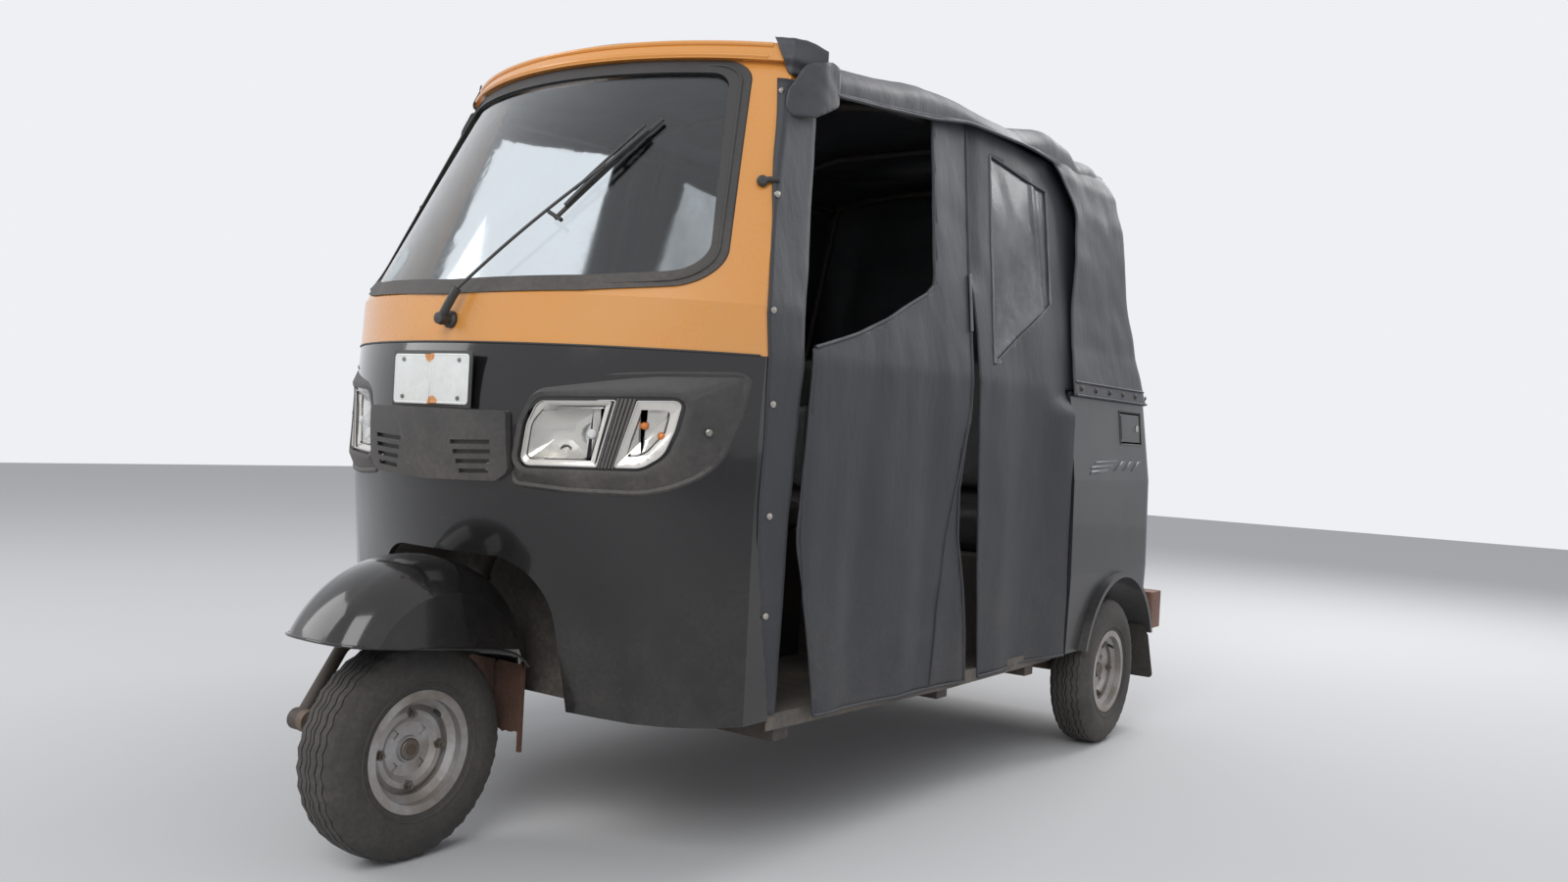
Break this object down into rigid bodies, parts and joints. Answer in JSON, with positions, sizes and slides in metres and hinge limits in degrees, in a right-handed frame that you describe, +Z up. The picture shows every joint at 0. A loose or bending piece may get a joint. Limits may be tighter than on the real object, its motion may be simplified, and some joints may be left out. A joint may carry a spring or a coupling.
{
  "type": "auto rickshaw",
  "caption": "Three-wheeled passenger vehicle with a steel cab, handlebar steering, rear engine, fabric canopy and side curtains.",
  "frame": {"origin": "on the ground under the middle of the vehicle's box", "axes": "+Z up, -Y forwards, +X to the vehicle's left"},
  "size_m": [1.328, 2.635, 1.74],
  "materials": {
    "cab_paint_yellow": "gloss",
    "body_paint_black": "gloss",
    "canopy_vinyl": "matt coated fabric",
    "curtain_vinyl": "matt coated fabric",
    "clear_vinyl": "scratched clear sheet",
    "textured_plastic": "fine grained",
    "seal_rubber": "matt",
    "screen_glass": "clear",
    "lamp_glass": "clear over bright reflector",
    "tail_lamp_red": "gloss",
    "plate_white": "satin",
    "frame_steel": "satin",
    "floor_steel": "worn satin",
    "suspension_steel": "satin, dirty",
    "rim_steel": "silver paint, dusty",
    "tyre_rubber": "matt",
    "flap_rubber": "matt, dusty",
    "seat_vinyl": "grained",
    "engine_metal": "cast, dirty",
    "bumper_paint": "faded",
    "bar_steel": "satin"
  },
  "bodies": {
    "body": {"chassis": "frame_steel", "floor_pan": "floor_steel", "front_cowl": "body_paint_black", "wheel_well": "body_paint_black", "windscreen_surround": "cab_paint_yellow", "windscreen_seal": "seal_rubber", "windscreen_glass": "screen_glass", "wiper": "frame_steel", "headlamp_bezels": "textured_plastic", "headlamps": "lamp_glass", "nose_grille": "textured_plastic", "number_plate": "plate_white", "dashboard": "textured_plastic", "canopy_frame": "frame_steel", "canopy": "canopy_vinyl", "front_curtains": "curtain_vinyl", "rear_curtains": "curtain_vinyl", "curtain_windows": "clear_vinyl", "pillar_flaps": "curtain_vinyl", "driver_seat_base": "frame_steel", "driver_seat": "seat_vinyl", "partition": "floor_steel", "seat_bulkhead": "floor_steel", "passenger_seat": "seat_vinyl", "rear_body": "body_paint_black", "engine_block": "engine_metal", "rear_bumper": "bumper_paint", "tail_lamps": "tail_lamp_red", "rear_mudflaps": "flap_rubber", "rear_suspension": "suspension_steel", "rear_dampers": "suspension_steel"},
    "steering": {"steering_fork": "suspension_steel", "front_link": "suspension_steel", "front_damper": "suspension_steel", "handlebar": "bar_steel", "front_fender": "body_paint_black", "front_mudflap": "flap_rubber"},
    "front_wheel": {"front_tyre": "tyre_rubber", "front_rim": "rim_steel"},
    "rear_left_wheel": {"rear_left_tyre": "tyre_rubber", "rear_left_rim": "rim_steel"},
    "rear_right_wheel": {"rear_right_tyre": "tyre_rubber", "rear_right_rim": "rim_steel"},
    "engine_door": {"engine_door": "body_paint_black"},
    "fuel_lid": {"fuel_lid": "body_paint_black"}
  },
  "joints": [
    {"name": "steering", "type": "hinge", "parent": "body", "child": "steering", "pos_m": [0, -0.872, 0.66], "axis": [0, 0.4067, 0.9135], "range_deg": [-40, 40]},
    {"name": "front_wheel", "type": "hinge", "parent": "steering", "child": "front_wheel", "pos_m": [0, -1.0925, 0.208], "axis": [1, 0, 0], "continuous": true},
    {"name": "rear_left_wheel", "type": "hinge", "parent": "body", "child": "rear_left_wheel", "pos_m": [0.601, 0.8925, 0.208], "axis": [1, 0, 0], "continuous": true},
    {"name": "rear_right_wheel", "type": "hinge", "parent": "body", "child": "rear_right_wheel", "pos_m": [-0.601, 0.8925, 0.208], "axis": [1, 0, 0], "continuous": true},
    {"name": "engine_door", "type": "hinge", "parent": "body", "child": "engine_door", "pos_m": [0, 1.248, 0.8], "axis": [1, 0, 0], "range_deg": [0, 80]},
    {"name": "fuel_lid", "type": "hinge", "parent": "body", "child": "fuel_lid", "pos_m": [0.62321, 0.955, 0.915], "axis": [0.1077, 0, -0.9942], "range_deg": [0, 100]}
  ]
}
